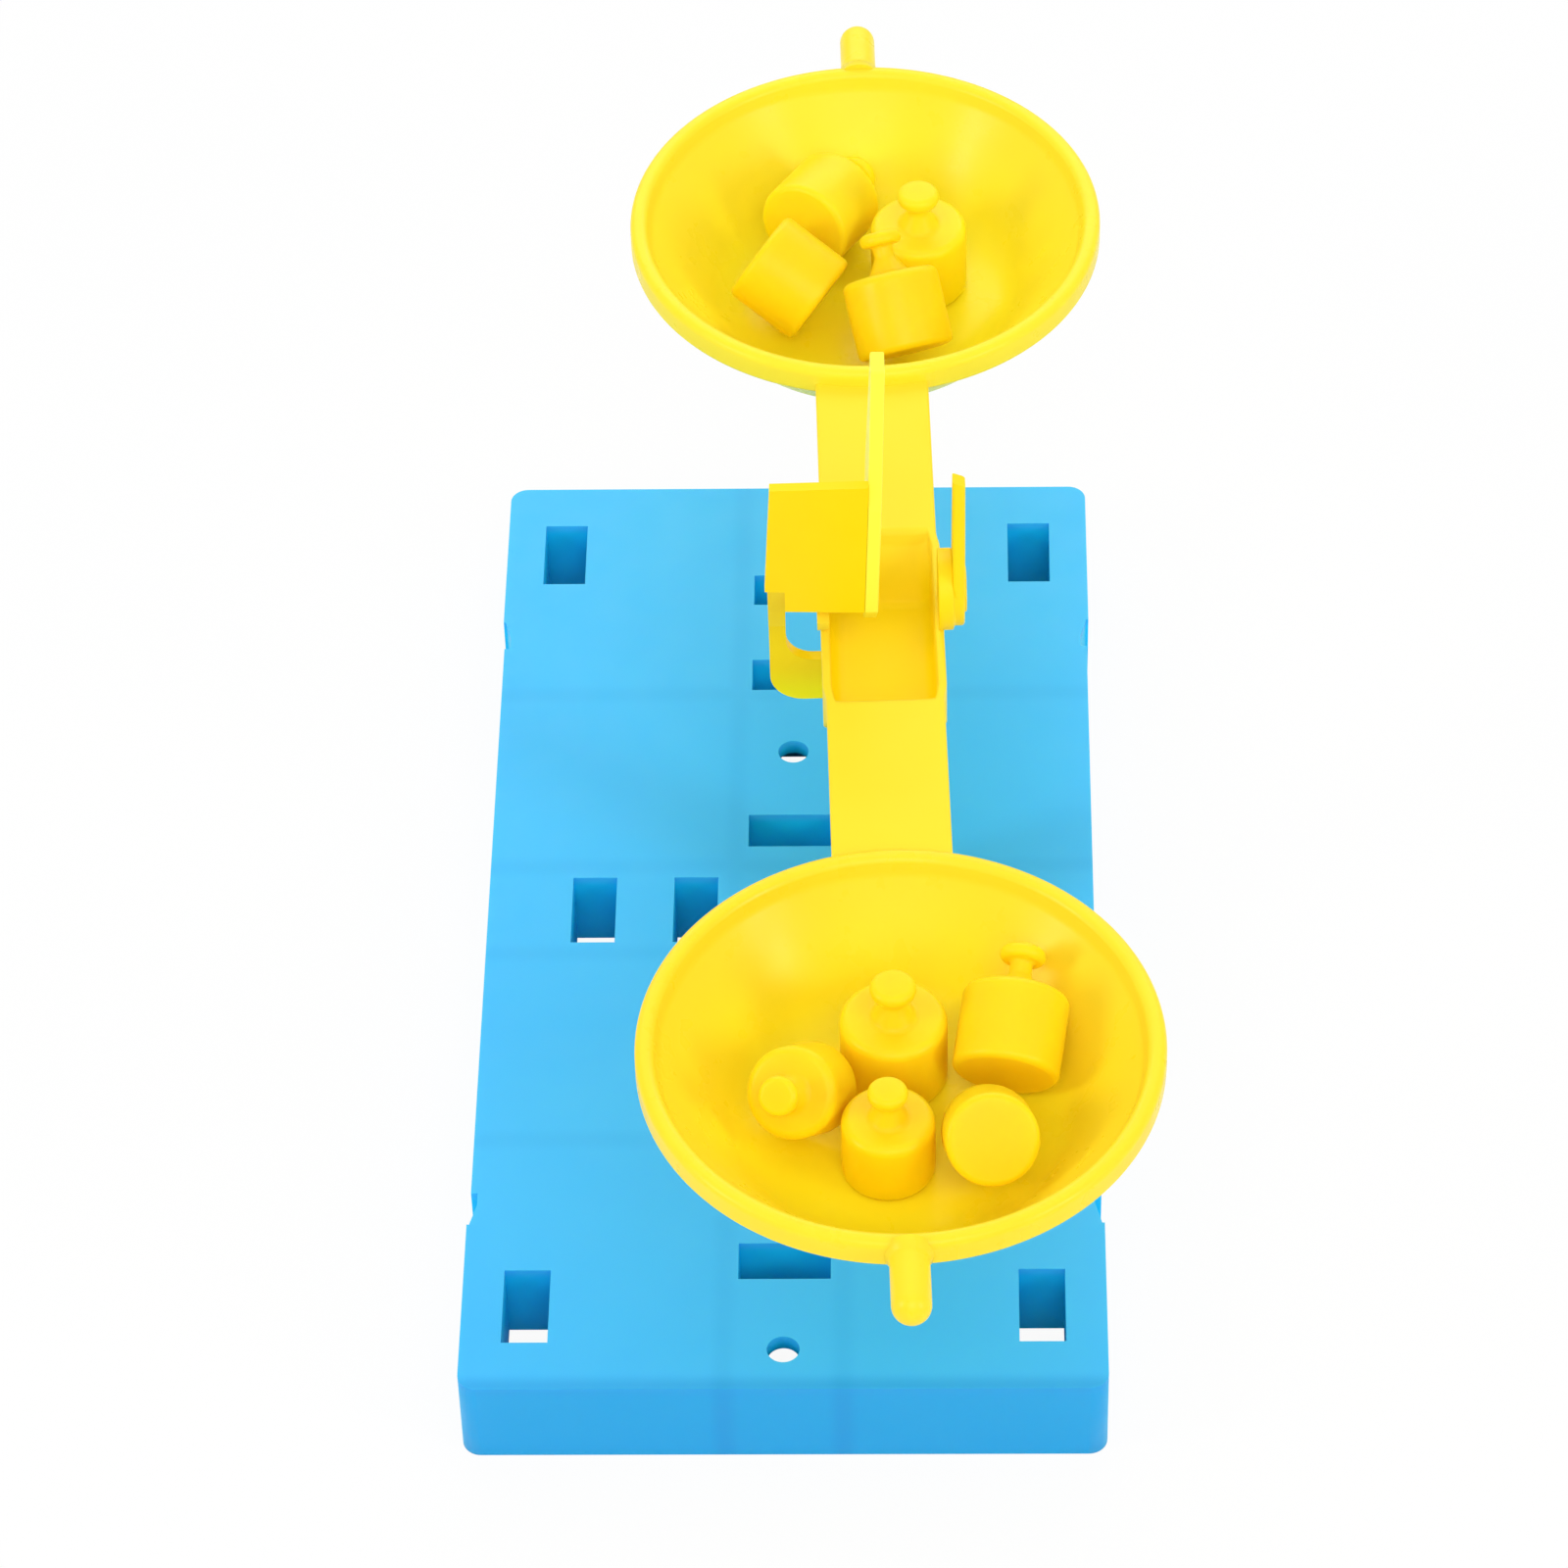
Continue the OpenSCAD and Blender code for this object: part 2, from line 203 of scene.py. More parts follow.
def piece(name, bm, body, material, replaced, angle=50):
    """Turns bm into a smooth object that rides on a body and stands for CAD nodes."""
    bmesh.ops.recalc_face_normals(bm, faces=bm.faces)
    mesh = bpy.data.meshes.new(name)
    bm.to_mesh(mesh)
    bm.free()
    mesh.polygons.foreach_set("use_smooth", [True] * len(mesh.polygons))
    mesh.set_sharp_from_angle(angle=math.radians(angle))
    obj = bpy.data.objects.new(name, mesh)
    bpy.context.scene.collection.objects.link(obj)
    mesh.materials.append(material)
    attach(obj, body)
    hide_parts(*replaced)
    return obj


# Materials

def add(tree, kind, x, y, **values):
    """A new shader node at a place in the tree."""
    node = tree.nodes.new(kind)
    node.location = (x, y)
    for key, value in values.items():
        setattr(node, key, value)
    return node


def plastic(name, light, deep, roughness, scatter, scatter_radius, sheen, speck_share, painted_by_height=None):
    """Moulded plastic: flowing tone, uneven gloss, faint moulding texture and rare dark specks.

    The last argument is (low, high, colour) in millimetres of height and paints light and shade: below low
    the plastic has that colour, lighter or darker than its own, standing in for how light falls at that
    height.
    """
    material = bpy.data.materials.new(name)
    material.use_nodes = True
    tree = material.node_tree
    link = tree.links.new
    shader = tree.nodes["Principled BSDF"]
    shader.inputs["Subsurface Weight"].default_value = scatter
    shader.inputs["Subsurface Radius"].default_value = scatter_radius
    shader.inputs["Subsurface Scale"].default_value = SCATTER_DEPTH
    shader.inputs["IOR"].default_value = PLASTIC_IOR
    shader.inputs["Specular IOR Level"].default_value = sheen
    place = add(tree, "ShaderNodeTexCoord", -1500, 0)

    flow = add(tree, "ShaderNodeTexNoise", -1250, 260)
    flow.inputs["Scale"].default_value = FLOW_SCALE
    flow.inputs["Detail"].default_value = 3.0
    flow.inputs["Distortion"].default_value = 0.8
    link(place.outputs["Object"], flow.inputs["Vector"])
    tone = add(tree, "ShaderNodeValToRGB", -1000, 260)
    tone.color_ramp.elements[0].position = 0.3
    tone.color_ramp.elements[0].color = (*deep, 1)
    tone.color_ramp.elements[1].position = 0.7
    tone.color_ramp.elements[1].color = (*light, 1)
    link(flow.outputs["Fac"], tone.inputs["Fac"])
    shade = tone.outputs["Color"]
    # Painted light and shade by height: below the low height the colour turns to the given one.
    if painted_by_height:
        axes = add(tree, "ShaderNodeSeparateXYZ", -1250, 560)
        link(place.outputs["Object"], axes.inputs["Vector"])
        rise = add(tree, "ShaderNodeMapRange", -1000, 560, interpolation_type="SMOOTHSTEP")
        rise.inputs["From Min"].default_value = painted_by_height[0] * 0.001
        rise.inputs["From Max"].default_value = painted_by_height[1] * 0.001
        link(axes.outputs["Z"], rise.inputs["Value"])
        height_paint_mix = add(tree, "ShaderNodeMix", -640, 420, data_type="RGBA")
        height_paint_mix.inputs["A"].default_value = (*painted_by_height[2], 1)
        link(rise.outputs["Result"], height_paint_mix.inputs["Factor"])
        link(shade, height_paint_mix.inputs["B"])
        shade = height_paint_mix.outputs["Result"]

    cells = add(tree, "ShaderNodeTexVoronoi", -1250, -60)
    cells.inputs["Scale"].default_value = SPECK_SCALE
    link(place.outputs["Object"], cells.inputs["Vector"])
    dot = add(tree, "ShaderNodeMath", -1000, -40, operation="LESS_THAN")
    dot.inputs[1].default_value = SPECK_R
    link(cells.outputs["Distance"], dot.inputs[0])
    split = add(tree, "ShaderNodeSeparateColor", -1000, -220)
    link(cells.outputs["Color"], split.inputs["Color"])
    chosen = add(tree, "ShaderNodeMath", -800, -220, operation="LESS_THAN")
    chosen.inputs[1].default_value = speck_share
    link(split.outputs["Red"], chosen.inputs[0])
    speck = add(tree, "ShaderNodeMath", -620, -100, operation="MULTIPLY")
    link(dot.outputs[0], speck.inputs[0])
    link(chosen.outputs[0], speck.inputs[1])
    colour = add(tree, "ShaderNodeMix", -420, 200, data_type="RGBA")
    colour.inputs["B"].default_value = (deep[0] * 0.35, deep[1] * 0.3, deep[2] * 0.3, 1)
    link(speck.outputs[0], colour.inputs["Factor"])
    link(shade, colour.inputs["A"])
    link(colour.outputs["Result"], shader.inputs["Base Color"])

    worn = add(tree, "ShaderNodeTexNoise", -1000, -420)
    worn.inputs["Scale"].default_value = WEAR_SCALE
    worn.inputs["Detail"].default_value = 4.0
    link(place.outputs["Object"], worn.inputs["Vector"])
    gloss = add(tree, "ShaderNodeMapRange", -700, -420)
    gloss.inputs["From Min"].default_value = 0.3
    gloss.inputs["From Max"].default_value = 0.7
    gloss.inputs["To Min"].default_value = roughness - 0.05
    gloss.inputs["To Max"].default_value = roughness + 0.06
    link(worn.outputs["Fac"], gloss.inputs["Value"])
    link(gloss.outputs["Result"], shader.inputs["Roughness"])

    grain = add(tree, "ShaderNodeTexNoise", -700, -700)
    grain.inputs["Scale"].default_value = GRAIN_SCALE
    grain.inputs["Detail"].default_value = 2.0
    link(place.outputs["Object"], grain.inputs["Vector"])
    bump = add(tree, "ShaderNodeBump", -420, -600)
    bump.inputs["Strength"].default_value = GRAIN_STRENGTH
    bump.inputs["Distance"].default_value = GRAIN_HEIGHT
    link(grain.outputs["Fac"], bump.inputs["Height"])
    link(bump.outputs["Normal"], shader.inputs["Normal"])
    return material


def paint_base_shade(material):
    """Paints shade on the base: faint darker bands where the ribs under its top would show through, and
    painted shadow that darkens its near end and its front face.
    """
    tree = material.node_tree
    link = tree.links.new
    shader = tree.nodes["Principled BSDF"]
    place = add(tree, "ShaderNodeTexCoord", -1500, 1000)
    axes = add(tree, "ShaderNodeSeparateXYZ", -1300, 1000)
    link(place.outputs["Object"], axes.inputs["Vector"])

    def near(socket, centre, y):
        """One painted shade band at the given distance from the middle line, fading out over two
        millimetres.
        """
        far = add(tree, "ShaderNodeMath", -1100, y, operation="ABSOLUTE")
        link(socket, far.inputs[0])
        off = add(tree, "ShaderNodeMath", -940, y, operation="SUBTRACT")
        off.inputs[1].default_value = centre * 0.001
        link(far.outputs[0], off.inputs[0])
        side = add(tree, "ShaderNodeMath", -780, y, operation="ABSOLUTE")
        link(off.outputs[0], side.inputs[0])
        band = add(tree, "ShaderNodeMapRange", -620, y, interpolation_type="SMOOTHSTEP")
        band.inputs["From Min"].default_value = RIB_SHADE_FADE[0]
        band.inputs["From Max"].default_value = RIB_SHADE_FADE[1]
        band.inputs["To Min"].default_value = 1.0
        band.inputs["To Max"].default_value = 0.0
        link(side.outputs[0], band.inputs["Value"])
        return band.outputs["Result"]

    middle = add(tree, "ShaderNodeMath", -1100, 1500, operation="SUBTRACT")
    middle.inputs[1].default_value = BASE_X * 0.001
    link(axes.outputs["X"], middle.inputs[0])
    bands = [near(axes.outputs["Y"], RIB_ROWS[0], 1300), near(axes.outputs["Y"], RIB_ROWS[1], 1150),
             near(middle.outputs[0], RIB_LANE, 1500)]
    total = bands[0]
    for k, band in enumerate(bands[1:]):
        joined = add(tree, "ShaderNodeMath", -420 + 160 * k, 1200, operation="MAXIMUM")
        link(total, joined.inputs[0])
        link(band, joined.inputs[1])
        total = joined.outputs[0]

    def painted_shadow_rise(span, y):
        """Painted shadow that rises towards the near end of the base, over the given span of Y."""
        rise = add(tree, "ShaderNodeMapRange", -420, y, interpolation_type="SMOOTHSTEP")
        rise.inputs["From Min"].default_value = span[0]
        rise.inputs["From Max"].default_value = span[1]
        rise.inputs["To Max"].default_value = span[2]
        link(axes.outputs["Y"], rise.inputs["Value"])
        return rise.outputs["Result"]

    both = add(tree, "ShaderNodeMath", -240, 1200, operation="ADD")
    link(total, both.inputs[0])
    link(painted_shadow_rise(NEAR_END_SHADOW, 1000), both.inputs[1])
    every = add(tree, "ShaderNodeMath", -170, 1000, operation="ADD")
    link(both.outputs[0], every.inputs[0])
    link(painted_shadow_rise(FRONT_FACE_SHADE, 700), every.inputs[1])
    strength = add(tree, "ShaderNodeMath", -100, 1200, operation="MULTIPLY")
    strength.inputs[1].default_value = BASE_SHADE_STRENGTH
    link(every.outputs[0], strength.inputs[0])
    shaded = add(tree, "ShaderNodeMix", 60, 900, data_type="RGBA")
    shaded.inputs["B"].default_value = BASE_SHADE_COLOUR
    link(strength.outputs[0], shaded.inputs["Factor"])
    link(shader.inputs["Base Color"].links[0].from_socket, shaded.inputs["A"])
    link(shaded.outputs["Result"], shader.inputs["Base Color"])


WARM = (1.0, 0.75, 0.06)
COOL = (0.1, 0.6, 1.0)
# Painted light: below 46 mm the stand turns lighter, standing in for light on its low bar, which sits in
# the web's shade.
YELLOW = plastic(
    "yellow_moulded", (1.0, 0.73, 0.006), (1.0, 0.70, 0.004), roughness=0.4, scatter=0.0,
    scatter_radius=WARM, sheen=0.12, speck_share=0.04, painted_by_height=(46.0, 52.0, (1.0, 0.88, 0.007)))
# Painted light: a slightly lighter copy of the stand's yellow, so that the boss and finger look lit.
POINTER_YELLOW = plastic(
    "yellow_pointer", (1.0, 0.74, 0.010), (1.0, 0.71, 0.008), roughness=0.4, scatter=0.0,
    scatter_radius=WARM, sheen=0.14, speck_share=0.03)
# Painted glow: a lighter, greener copy of the yellow for the index blade, standing in for light passing
# through its thin edge.
BLADE_GLOW_YELLOW = plastic(
    "yellow_blade_painted_glow", (1.0, 0.97, 0.07), (1.0, 0.95, 0.06), roughness=0.4, scatter=0.0,
    scatter_radius=WARM, sheen=0.15, speck_share=0.02)
# Painted light and shade: below 57 mm, in the hub's pocket, the yellow turns more orange, standing in for
# light bounced about the recess.
BAR_YELLOW = plastic(
    "yellow_bar", (1.0, 0.78, 0.036), (1.0, 0.755, 0.030), roughness=0.42, scatter=0.0,
    scatter_radius=WARM, sheen=0.10, speck_share=0.04, painted_by_height=(57.0, 62.6, (1.0, 0.77, 0.003)))
# Painted light: towards the bowl's floor the yellow turns lighter and more orange, standing in for light
# glowing through and bounced about the dish.
DISH_YELLOW = plastic(
    "yellow_dish", (1.0, 0.77, 0.030), (1.0, 0.74, 0.024), roughness=0.3, scatter=0.1,
    scatter_radius=WARM, sheen=0.18, speck_share=0.035, painted_by_height=(46.0, 62.0, (1.0, 0.88, 0.008)))
# Painted light: a lighter copy of the dish yellow for the far bowl, with the same painted light towards
# its floor.
FAR_DISH_PAINTED_LIGHTER = plastic(
    "yellow_dish_far_painted_lighter", (1.0, 0.82, 0.034), (1.0, 0.79, 0.030), roughness=0.3, scatter=0.1,
    scatter_radius=WARM, sheen=0.18, speck_share=0.03, painted_by_height=(46.0, 62.0, (1.0, 0.91, 0.012)))
# Painted shade: towards the bowl's floor the weights turn more orange, standing in for the shade down
# among them.
WEIGHT_YELLOW = plastic(
    "yellow_weight", (1.0, 0.70, 0.010), (1.0, 0.67, 0.008), roughness=0.36, scatter=0.6,
    scatter_radius=WARM, sheen=0.16, speck_share=0.04, painted_by_height=(50.0, 64.0, (1.0, 0.66, 0.003)))
# Painted light: a lighter copy of the weight yellow for two weights in the far bowl, with the same painted
# shade towards the floor.
FAR_WEIGHT_PAINTED_LIGHTER = plastic(
    "yellow_weight_far_painted_lighter", (1.0, 0.77, 0.016), (1.0, 0.74, 0.014), roughness=0.36, scatter=0.6,
    scatter_radius=WARM, sheen=0.16, speck_share=0.03, painted_by_height=(50.0, 64.0, (1.0, 0.74, 0.006)))
# Painted light: below 10.6 mm, on the base's sides and in its slots, the blue turns greener and lighter,
# standing in for light in the sockets.
BLUE = plastic(
    "blue_moulded", (0.046, 0.52, 0.99), (0.040, 0.50, 0.99), roughness=0.42, scatter=0.2,
    scatter_radius=COOL, sheen=0.38, speck_share=0.02, painted_by_height=(10.6, 12.0, (0.006, 0.60, 0.99)))
# Painted shade on the base: rib bands, and shadow on its near end and front face
paint_base_shade(BLUE)


# The CAD solids that stay: a plastic finish and rounded moulded edges

def dress(node, material, edge):
    """Gives a CAD node its plastic and soft edges of the given width in millimetres."""
    obj = nodes[node]
    obj.data.materials.clear()
    obj.data.materials.append(material)
    weld = obj.modifiers.new("weld", "WELD")
    weld.merge_threshold = 0.00002
    bevel = obj.modifiers.new("edges", "BEVEL")
    bevel.width = edge * 0.001
    bevel.segments = 3
    bevel.limit_method = "ANGLE"
    bevel.angle_limit = math.radians(38)
    bevel.use_clamp_overlap = True
    bevel.harden_normals = True


dress("base_plate", BLUE, 0.45)
dress("stand_post", YELLOW, 0.35)
dress("stand_yoke", YELLOW, 0.3)
dress("index_blade", BLADE_GLOW_YELLOW, 0.25)
dress("pivot_pin", YELLOW, 0.2)


# Beam bar: straps and hub as the one moulding that they are

def profile_height(outline, y):
    """Height of an outline at y, along its straight pieces."""
    for (y0, z0), (y1, z1) in zip(outline, outline[1:]):
        if y0 <= y <= y1:
            return z0 + (z1 - z0) * (y - y0) / (y1 - y0)
    return outline[-1][1]


def beam_bar():
    """Straps and hub tray in one skin, with the ear and bearing tube of the pin."""
    end = BOWL_OFFSET - BOWL_R + BAR_INTO_RIM
    top_y = HUB_L / 2
    low_y = top_y - HUB_SLOPE
    floor_z = -HUB_DEPTH + HUB_FLOOR_T
    under = rounded([(0, -HUB_DEPTH, 0), (low_y, -HUB_DEPTH, 2.0), (top_y, -STRAP_T, 1.6),
                     (end, -STRAP_T, 0)])
    inside = rounded([(0, floor_z, 0), (low_y - 0.96, floor_z, 1.6), (top_y - 2.2, -STRAP_T, 1.2),
                      (top_y - 1.6, 0, 1.0), (end, 0, 0)])
    stations = sorted({round(p[0], 4) for p in under + inside}
                      | {round(11.0 + 0.25 * k, 4) for k in range(14)})
    stations = [-y for y in reversed(stations[1:])] + stations
    bm = bmesh.new()
    sections = []
    for y in stations:
        ay = abs(y)
        zb = profile_height(under, ay)
        zp = profile_height(inside, ay)
        ease = min(max((ay - EASE_FROM) / EASE_OVER, 0), 1)
        ease = ease * ease * (3 - 2 * ease)
        w = HUB_W / 2 + (STRAP_W / 2 - HUB_W / 2) * ease
        wall = w - HUB_WALL
        brim = min(BRIM_EDGE, -zp * 0.3)
        foot = min(FLOOR_FILLET, -zp * 0.5)
        half = [(0, zb)]
        for c, n in quarter(4):
            half.append((w - BAR_EDGE + BAR_EDGE * n, zb + BAR_EDGE - BAR_EDGE * c))
        for c, n in quarter(4):
            half.append((w - BRIM_EDGE + BRIM_EDGE * c, -BRIM_EDGE + BRIM_EDGE * n))
        for c, n in quarter(4):
            half.append((wall + BRIM_EDGE - BRIM_EDGE * n, -brim + brim * c))
        for c, n in quarter(5):
            half.append((wall - 0.1 - FLOOR_FILLET * (1 - c), zp + foot - foot * n))
        half.append((0, zp))
        left = [(-x, z) for x, z in reversed(half[1:-1])]
        sections.append([AT_STAND @ Vector((x, y, z)) for x, z in half + left])
    loft(bm, sections)

    # Ear and bearing tube on the pin, and the low cheek under the ear
    x0 = -HUB_W / 2 - EAR_OUT
    x1 = -HUB_W / 2 + HUB_WALL
    tube_r = EAR_R - 0.25
    ear = [(BORE_R, x0, 0), (EAR_R, x0, 0.3), (EAR_R, x1, 0.3), (BORE_R, x1, 0)]
    tube = [(BORE_R, x1 - 0.5, 0), (tube_r, x1 - 0.5, 0.2), (tube_r, TUBE_END, 0.3), (BORE_R, TUBE_END, 0)]
    lathe(bm, rounded(ear, 5), ALONG_PIN, 72)
    lathe(bm, rounded(tube, 5), ALONG_PIN, 72)
    cheek(bm, x0, x1)
    return piece("beam_bar", bm, "beam", BAR_YELLOW,
                 ("hub", "strap_near", "strap_far"))


def pointer():
    """Round boss on the hub's right, a tapering finger grown out of its disc, and a low cap."""
    bm = bmesh.new()
    b0 = HUB_W / 2 - 0.6
    b1 = HUB_W / 2 + 1.1
    b2 = HUB_W / 2 + 2.4
    b3 = HUB_W / 2 + 2.7
    outline = [
        (0, b0, 0), (BOSS_R, b0, 0.1), (BOSS_R, b1, 0.35), (DISC_R, b1 + 0.1, 0.2), (DISC_R, b2, 0.4),
        (CAP_R, b2, 0.2), (CAP_R, b3, 0.25), (0, b3, 0)]
    lathe(bm, rounded(outline, 6), ALONG_PIN, 96)
    sections = []
    steps = 40
    for k in range(steps + 1):
        share = k / steps
        z = PIVOT_UP + (POINTER_TOP - PIVOT_UP) * share
        half_x = FINGER_HALF_X + 0.06 * share
        half_y = DISC_R * 0.97 * (1 - share) + FINGER_TIP_HALF_Y * share
        centre = (b1 + b2) / 2 + 0.1 * share
        ring = []
        for cx, cy, a0 in ((1, 1, 0), (-1, 1, 90), (-1, -1, 180), (1, -1, 270)):
            for m in range(5):
                a = math.radians(a0 + 22.5 * m)
                x = cx * (half_x - FINGER_EDGE) + FINGER_EDGE * math.cos(a)
                y = cy * (half_y - FINGER_EDGE) + FINGER_EDGE * math.sin(a)
                tip = -0.35 * (x / half_x) * share ** 8 - 0.2 * share ** 8
                ring.append(AT_STAND @ Vector((centre + x, y, z + tip)))
        sections.append(ring)
    loft(bm, sections)
    return piece("pointer_finger", bm, "beam", POINTER_YELLOW, ("pointer",))


def cheek(bm, x0, x1):
    """Low half disc on the hub's left wall, under the ear."""
    r = BOSS_R - EAR_OUT
    start = math.asin(CHEEK_LEVEL / r)
    outline = []
    for k in range(41):
        a = start - (math.pi + 2 * start) * k / 40
        outline.append((r * math.cos(a), PIVOT_UP + r * math.sin(a)))
    front = [bm.verts.new(AT_STAND @ Vector((x0, y, z))) for y, z in outline]
    back = [bm.verts.new(AT_STAND @ Vector((x1, y, z))) for y, z in outline]
    count = len(outline)
    for k in range(count):
        n = (k + 1) % count
        bm.faces.new((front[k], front[n], back[n], back[k]))
    bm.faces.new(list(reversed(front)))
    bm.faces.new(back)


# Bowls with their pegs

def bowl(name, side, body_nodes, material):
    """Turned dish with a lip, and the round-ended peg on its outer side."""
    turn = Matrix.Rotation(0 if side > 0 else math.pi, 4, "Z")
    place = AT_STAND @ turn @ Matrix.Translation((0, BOWL_OFFSET, RIM_UP))
    under = -BOWL_DEPTH - BOWL_WALL
    profile = rounded([
        (0, under, 0), (BOWL_FLOOR_R + 0.6, under, 6), (BOWL_R - 1.2, -RIM_BAND, 0.5),
        (BOWL_R, -RIM_BAND, 0.6), (BOWL_R, 0, 1.0), (BOWL_R - 1.9, 0, 1.0), (BOWL_R - 2.6, -2.0, 3.0),
        (BOWL_FLOOR_R, -BOWL_DEPTH, 7), (0, -BOWL_DEPTH, 0)], 12)
    bm = bmesh.new()
    lathe(bm, profile, place, 192)
    peg = (AT_STAND @ turn @ Matrix.Translation((0, BOWL_OFFSET + BOWL_R, 0))
           @ Matrix.Rotation(math.radians(-90), 4, "X"))
    rod = [(0, -0.9), (PEG_R + 0.55, -0.9), (PEG_R + 0.45, 0.0), (PEG_R + 0.16, 0.3),
           (PEG_R + 0.04, 0.7), (PEG_R, 1.2)]
    for c, n in quarter(12):
        rod.append((PEG_R * c, PEG_LEN - PEG_R + PEG_R * n))
    rod[-1] = (0, PEG_LEN)
    lathe(bm, rod, peg, 64)
    return piece(name, bm, "beam", material, body_nodes)


# Loose weights

def weight(number, side, place, lean, turn, size, knobbed=True, material=WEIGHT_YELLOW):
    """Turns one weight on a lathe outline and lays it in a bowl; one of them has no knob."""
    r, h = size
    lean_s = abs(math.sin(math.radians(lean)))
    lean_c = math.cos(math.radians(lean))
    knob_r = r * KNOB_SHARE
    neck_r = r * NECK_SHARE
    rest = r * lean_s + h / 2 * abs(lean_c)
    if knobbed:
        rest = max(rest, knob_r * lean_s - (h / 2 + r * (NECK_TALL + KNOB_TALL)) * lean_c)
    rest += STAND_GAP if lean == 0 else REST_GAP
    matrix = (AT_STAND @ Matrix.Translation((0, side * BOWL_OFFSET, RIM_UP - BOWL_DEPTH))
              @ Matrix.Translation((place[0] * LARGE[0], place[1] * LARGE[0], rest))
              @ Matrix.Rotation(math.radians(turn), 4, "Z")
              @ Matrix.Rotation(math.radians(lean), 4, "X"))
    top = h / 2 + r * NECK_TALL
    crown = top + r * KNOB_TALL
    outline = [(0, -h / 2, 0), (r, -h / 2, 0.8), (r, h / 2, 0.8), (0, h / 2, 0)]
    if knobbed:
        outline = [
            (0, -h / 2, 0), (r, -h / 2, 0.8), (r, h / 2, 1.1), (r * FLARE_SHARE, h / 2 + 0.1, 0.9),
            (neck_r, h / 2 + r * NECK_TALL * 0.6, 1.2), (neck_r, top, 0.4),
            (knob_r, top, 0.75), (knob_r, crown, 0.85), (0, crown, 0)]
    bm = bmesh.new()
    lathe(bm, rounded(outline, 8), matrix, 96)
    name = "weight_%d" % number
    return piece(name + "_turned", bm, name, material, (name,))


beam_bar()
pointer()
bowl("dish_near", -1, ("bowl_near",), DISH_YELLOW)
bowl("dish_far", 1, ("bowl_far",), FAR_DISH_PAINTED_LIGHTER)
weight(1, -1, (-1.83, -0.13), 48, -25, SMALL)
weight(2, -1, (-0.1, 1.2), 0, 0, LARGE)
weight(3, -1, (2.07, 1), -69, -11, LARGE)
weight(4, -1, (-0.27, -1.06), 0, 0, SMALL)
weight(5, -1, (1.58, -1.46), -131, 3, SMALL)
weight(6, 1, (-0.89, 1.55), -98, -30, LARGE, material=FAR_WEIGHT_PAINTED_LIGHTER)
weight(7, 1, (-1.6, -0.72), 117, 61, LARGE, False)
weight(8, 1, (1.12, 0.47), 0, 0, LARGE, material=FAR_WEIGHT_PAINTED_LIGHTER)
weight(9, 1, (0.61, -1.95), -47, 16, LARGE)


# Floor, light and camera

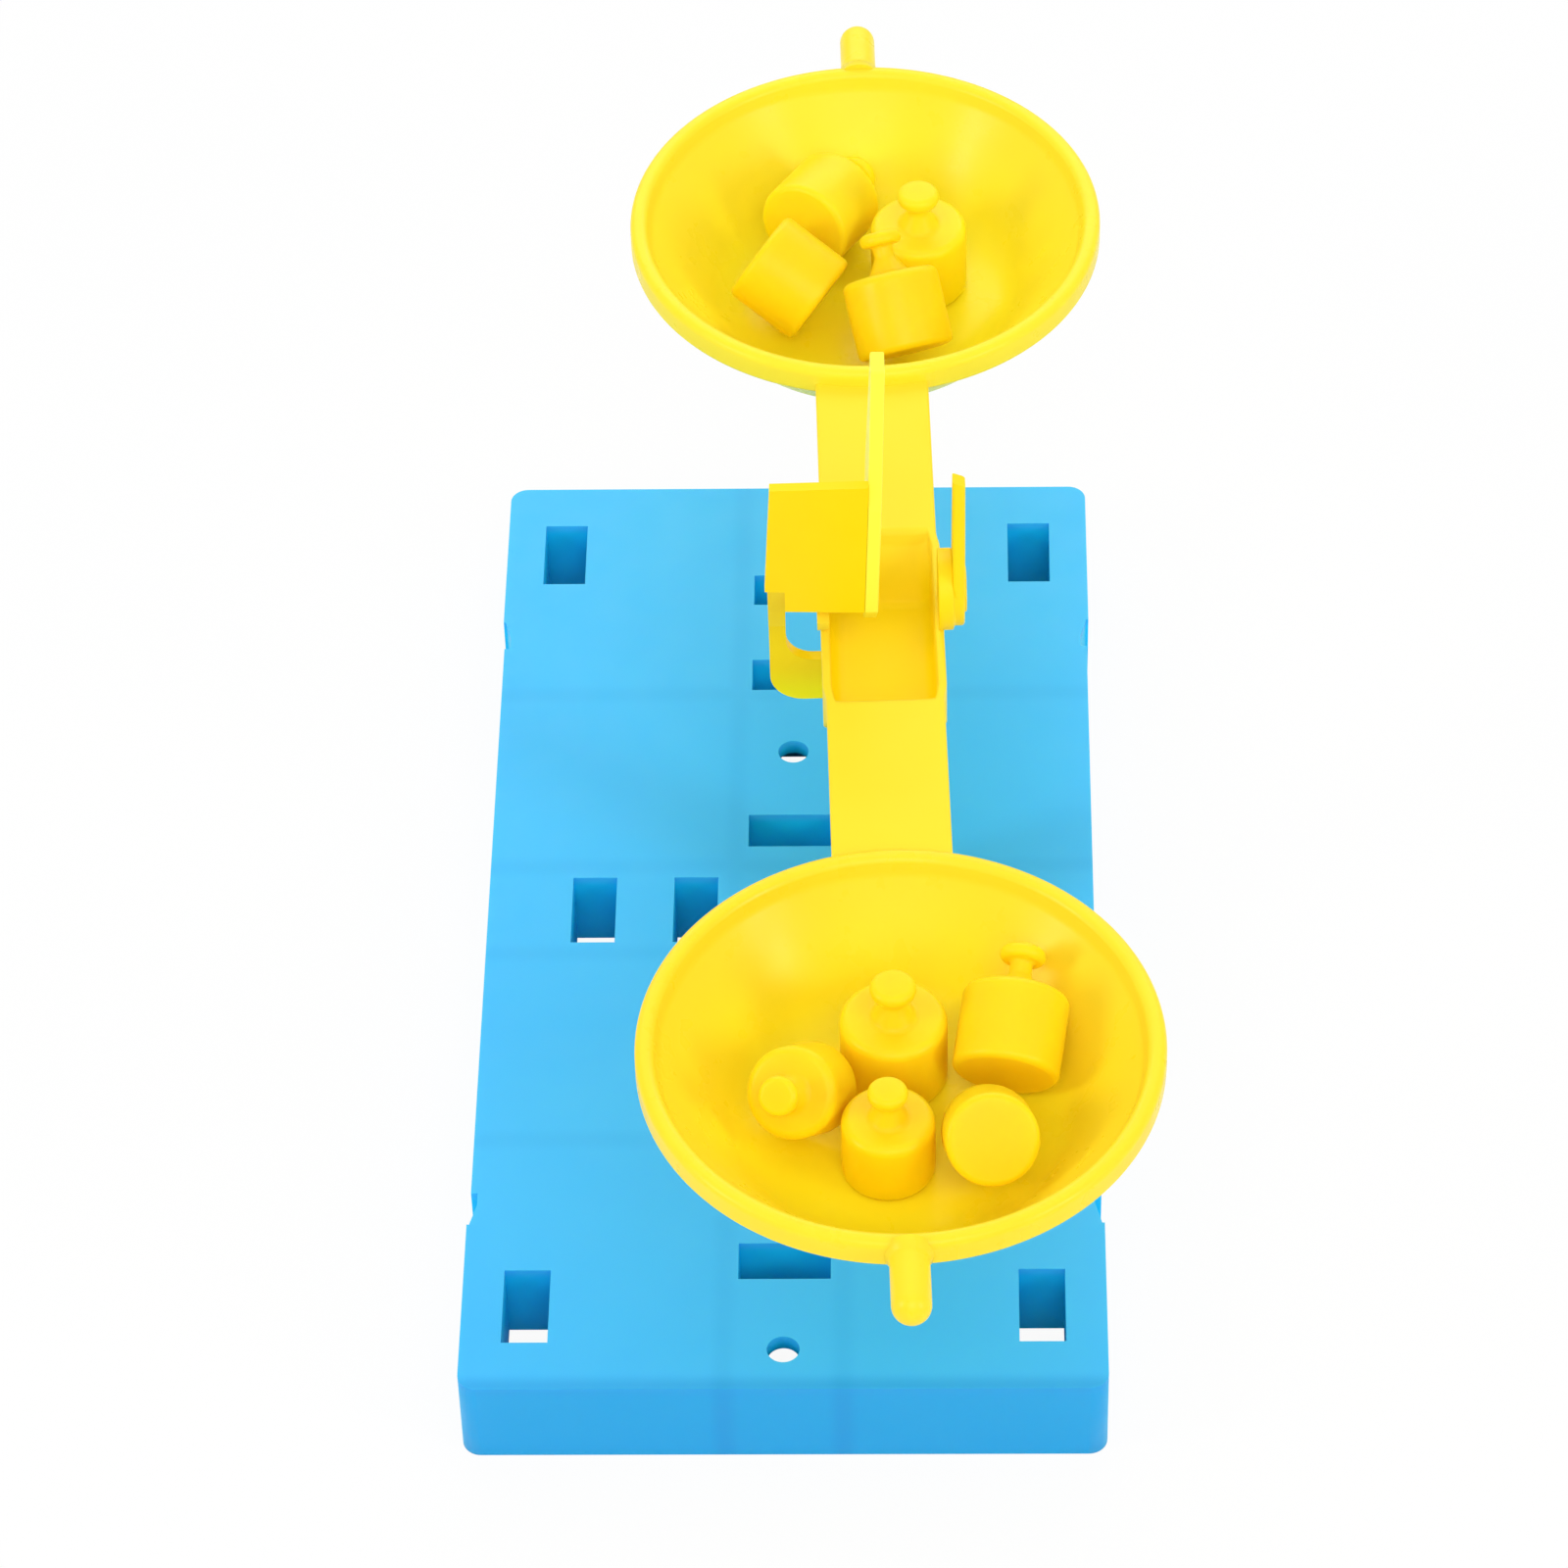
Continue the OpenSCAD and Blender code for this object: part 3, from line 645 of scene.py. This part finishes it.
def floor():
    """Pale floor that the camera sees as white, but for the object's soft shadow."""
    bm = bmesh.new()
    corners = ((-1, -1), (1, -1), (1, 1), (-1, 1))
    bm.faces.new([bm.verts.new((x * FLOOR_REACH, y * FLOOR_REACH, 0)) for x, y in corners])
    mesh = bpy.data.meshes.new("floor")
    bm.to_mesh(mesh)
    bm.free()
    obj = bpy.data.objects.new("floor", mesh)
    bpy.context.scene.collection.objects.link(obj)
    material = bpy.data.materials.new("white_floor")
    material.use_nodes = True
    tree = material.node_tree
    tree.nodes.remove(tree.nodes["Principled BSDF"])
    out = tree.nodes["Material Output"]
    diffuse = add(tree, "ShaderNodeBsdfDiffuse", -400, 100)
    diffuse.inputs["Color"].default_value = (FLOOR_GREY, FLOOR_GREY, FLOOR_GREY, 1)
    white = add(tree, "ShaderNodeEmission", -400, -80)
    white.inputs["Color"].default_value = (1, 1, 1, 1)
    white.inputs["Strength"].default_value = 1.0
    path = add(tree, "ShaderNodeLightPath", -700, 300)
    seen = add(tree, "ShaderNodeMath", -520, 300, operation="MULTIPLY")
    seen.inputs[1].default_value = FLOOR_WHITE_SHARE
    mix = add(tree, "ShaderNodeMixShader", -150, 60)
    tree.links.new(path.outputs["Is Camera Ray"], seen.inputs[0])
    tree.links.new(seen.outputs[0], mix.inputs[0])
    tree.links.new(diffuse.outputs[0], mix.inputs[1])
    tree.links.new(white.outputs[0], mix.inputs[2])
    tree.links.new(mix.outputs[0], out.inputs["Surface"])
    mesh.materials.append(material)


def softbox(name, place, aim, size, power):
    """Rectangular area light that faces the aim."""
    lamp = bpy.data.lights.new(name, "AREA")
    lamp.shape = "RECTANGLE"
    lamp.size, lamp.size_y = size
    lamp.energy = power
    obj = bpy.data.objects.new(name, lamp)
    obj.location = place
    obj.rotation_euler = (Vector(aim) - Vector(place)).to_track_quat("-Z", "Y").to_euler()
    bpy.context.scene.collection.objects.link(obj)


floor()
softbox("overhead", (0.0, 0.1, 0.95), (0, 0, 0.03), (0.9, 0.9), 1.1)
softbox("back", (0.0, 0.85, 0.62), (0, 0, 0.03), (1.2, 0.55), 4.0)
softbox("front", (0.1, -0.84, 0.96), (0, 0, 0.04), (0.8, 0.6), 4.6)
softbox("left_window", (-0.64, -0.29, 0.40), (0, -0.05, 0.06), (0.16, 0.32), 1.4)
softbox("right_window", (0.63, -0.40, 0.40), (0, -0.05, 0.06), (0.16, 0.32), 1.4)

world = bpy.data.worlds.new("studio")
bpy.context.scene.world = world
world.use_nodes = True
world.node_tree.nodes["Background"].inputs["Color"].default_value = (1, 1, 1, 1)
world.node_tree.nodes["Background"].inputs["Strength"].default_value = 0.5

camera_data = bpy.data.cameras.new("camera")
camera_data.sensor_fit = "HORIZONTAL"
camera_data.angle = 2 * math.atan(HALF_PICTURE / FOCAL_LENGTH)
camera_data.clip_start = 0.01
camera_data.clip_end = 20
camera = bpy.data.objects.new("camera", camera_data)
bpy.context.scene.collection.objects.link(camera)
right = Vector((0.99968662, 0.01340111, -0.02114397))
up = Vector((0.00499599, 0.72084181, 0.69308187))
ahead = Vector((-0.02452953, 0.69297031, -0.72054897))
turn = Matrix((right, up, -ahead)).transposed().to_4x4()
camera.matrix_world = Matrix.Translation(CAMERA_AT) @ turn
bpy.context.scene.camera = camera

bpy.context.scene.view_settings.view_transform = "Standard"
